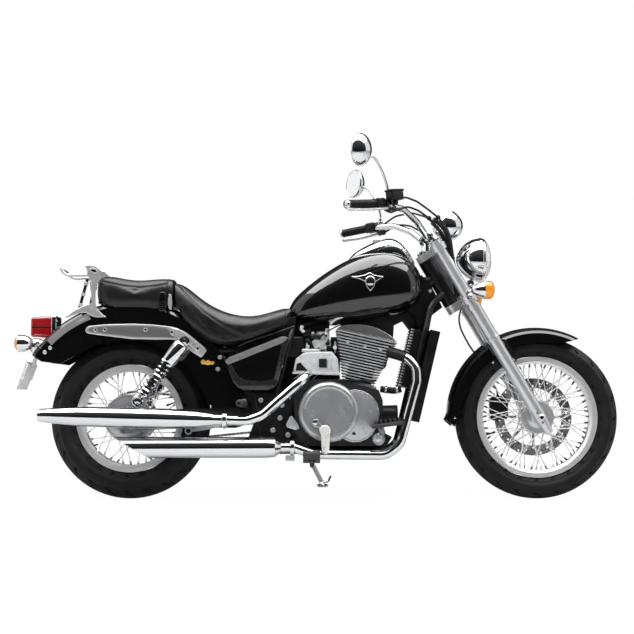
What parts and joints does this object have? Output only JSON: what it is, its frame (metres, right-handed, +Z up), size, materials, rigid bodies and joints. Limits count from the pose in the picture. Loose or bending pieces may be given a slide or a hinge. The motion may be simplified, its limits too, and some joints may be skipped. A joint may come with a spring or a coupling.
{
  "type": "cruiser motorcycle",
  "caption": "Cruiser motorcycle with a teardrop tank, stepped saddle, wire wheels and staggered twin silencers, leaning on its side stand.",
  "frame": {"origin": "centre of the bounding box in plan, on the road", "axes": "+X forward along the machine's length, +Z up, +Y to its left, the side it leans to"},
  "size_m": [2.4268, 0.897, 1.4487],
  "materials": {
    "frame_paint": "black paint",
    "body_paint": "deep gloss black",
    "chain_steel": "oiled steel",
    "cast_alloy": "satin casting",
    "polished_alloy": "polished",
    "fin_alloy": "machined fins",
    "cover_chrome": "bright",
    "radiator_paint": "satin black",
    "exhaust_chrome": "mirror",
    "trim_chrome": "mirror",
    "seat_leather": "soft grain",
    "cover_plastic": "gloss black",
    "rail_metal": "satin grey",
    "lamp_plastic": "red lens",
    "plate_paint": "blank white",
    "rest_rubber": "ribbed",
    "fork_alloy": "satin silver",
    "caliper_paint": "satin black",
    "cable_rubber": "sheathed",
    "tyre_rubber": "black tread",
    "wheel_chrome": "chrome rim and bright spokes",
    "disc_steel": "ground",
    "stand_steel": "bright"
  },
  "bodies": {
    "chassis": {"frame": "frame_paint", "swingarm": "frame_paint", "drive_chain": "chain_steel", "crankcase": "cast_alloy", "engine_covers": "polished_alloy", "front_cylinder": "fin_alloy", "rear_cylinder": "fin_alloy", "head_covers": "cover_chrome", "intake": "cast_alloy", "radiator": "radiator_paint", "upper_exhaust": "exhaust_chrome", "lower_exhaust": "exhaust_chrome", "fuel_tank": "body_paint", "tank_console": "trim_chrome", "rider_seat": "seat_leather", "pillion_seat": "seat_leather", "side_covers": "cover_plastic", "rear_mudguard": "body_paint", "mudguard_rails": "rail_metal", "rear_shocks": "trim_chrome", "rear_rack": "trim_chrome", "rear_lights": "lamp_plastic", "number_plate": "plate_paint", "footrests": "rest_rubber", "foot_levers": "polished_alloy", "rear_brake": "cast_alloy", "battery_box": "cover_plastic"},
    "fork": {"fork_clamps": "fork_alloy", "fork_legs": "fork_alloy", "front_mudguard": "body_paint", "front_caliper": "caliper_paint", "handlebar": "trim_chrome", "grips": "rest_rubber", "hand_controls": "polished_alloy", "mirrors": "trim_chrome", "front_lights": "trim_chrome", "speedometer": "trim_chrome", "control_cables": "cable_rubber"},
    "front_wheel_body": {"front_tyre": "tyre_rubber", "front_wheel": "wheel_chrome", "front_disc": "disc_steel"},
    "rear_wheel_body": {"rear_tyre": "tyre_rubber", "rear_wheel": "wheel_chrome", "rear_sprocket": "chain_steel"},
    "side_stand_body": {"side_stand": "stand_steel"}
  },
  "joints": [
    {"name": "steering", "type": "hinge", "parent": "chassis", "child": "fork", "pos_m": [0.43448, -0.0188, 0.96884], "axis": [-0.5075, 0.105, 0.8552], "range_deg": [-38, 38]},
    {"name": "front_wheel_spin", "type": "hinge", "parent": "fork", "child": "front_wheel_body", "pos_m": [0.88555, -0.09772, 0.32612], "axis": [0, 0.9925, -0.1219], "continuous": true},
    {"name": "rear_wheel_spin", "type": "hinge", "parent": "chassis", "child": "rear_wheel_body", "pos_m": [-0.75445, -0.09833, 0.32116], "axis": [0, 0.9925, -0.1219], "continuous": true},
    {"name": "side_stand", "type": "hinge", "parent": "chassis", "child": "side_stand_body", "pos_m": [-0.03245, -0.00132, 0.14301], "axis": [-0.328, 0.9444, 0.0243], "range_deg": [0, 96]}
  ]
}
